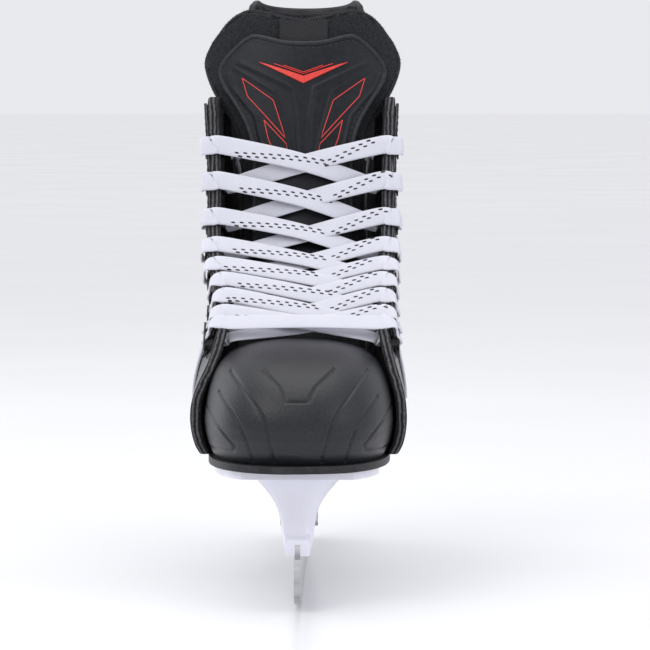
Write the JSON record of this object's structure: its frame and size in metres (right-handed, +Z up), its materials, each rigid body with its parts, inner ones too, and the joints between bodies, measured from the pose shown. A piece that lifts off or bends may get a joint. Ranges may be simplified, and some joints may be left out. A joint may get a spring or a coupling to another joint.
{
  "type": "ice hockey skate",
  "caption": "Right-foot ice-hockey skate: laminated boot with toe cap, laced flat lace, flopping tongue and flexing tendon guard on a steel runner in a plastic holder.",
  "frame": {"origin": "on the ice under the middle of the skate's length and width", "axes": "+Z up, toe towards -Y, +X towards the big toe side"},
  "size_m": [0.1053, 0.2933, 0.2905],
  "materials": {
    "stainless_steel": "hollow ground and polished",
    "white_nylon": "gloss moulded",
    "zinc_steel": "plated",
    "sole_tpr": "satin moulded",
    "cap_plastic": "satin moulded, fine grain",
    "quarter_laminate": "woven laminate",
    "eyestay_laminate": "coated microfibre",
    "eyelet_black": "black lacquer",
    "silver_panel": "satin",
    "board": "fibre board",
    "foam": "foam with a brushed face",
    "felt": "heather felt",
    "lining": "brushed microfibre",
    "shield_vinyl": "moulded coated leather",
    "red_trim": "printed",
    "twill": "twill weave",
    "lace_polyester": "flat woven",
    "aglet": "gloss",
    "guard_plastic": "satin moulded"
  },
  "bodies": {
    "boot": {"runner": "stainless_steel", "blade_holder": "white_nylon", "runner_screws": "zinc_steel", "runner_nuts": "zinc_steel", "front_rivets": "zinc_steel", "rear_rivets": "zinc_steel", "outsole": "sole_tpr", "insole_board": "board", "footbed": "foam", "toe_cap": "cap_plastic", "toe_lining": "lining", "quarter_lateral": "quarter_laminate", "quarter_medial": "quarter_laminate", "eyestay_lateral": "eyestay_laminate", "eyestay_medial": "eyestay_laminate", "eyelets_lateral": "eyelet_black", "eyelets_medial": "eyelet_black", "side_panel_lateral": "silver_panel", "side_panel_medial": "silver_panel", "ankle_pad_lateral": "foam", "ankle_pad_medial": "foam", "lining_lateral": "lining", "lining_medial": "lining", "heel_counter": "cap_plastic", "tongue_felt_lower": "felt", "tongue_shield_lower": "shield_vinyl", "lace": "lace_polyester", "lace_aglets": "aglet"},
    "tongue_top": {"tongue_felt_upper": "felt", "tongue_shield_upper": "shield_vinyl", "tongue_patch": "twill", "tongue_chevron": "red_trim"},
    "tendon_guard": {"tendon_guard": "guard_plastic", "tendon_pad": "lining"}
  },
  "joints": [
    {"name": "tongue_flop", "type": "hinge", "parent": "boot", "child": "tongue_top", "pos_m": [0, 0.0262, 0.2266], "axis": [1, 0, 0], "range_deg": [0, 55], "stiffness_Nm_per_rad": 0.15},
    {"name": "tendon_flex", "type": "hinge", "parent": "boot", "child": "tendon_guard", "pos_m": [0, 0.1335, 0.222], "axis": [-1, 0, 0], "range_deg": [0, 18], "stiffness_Nm_per_rad": 2}
  ]
}
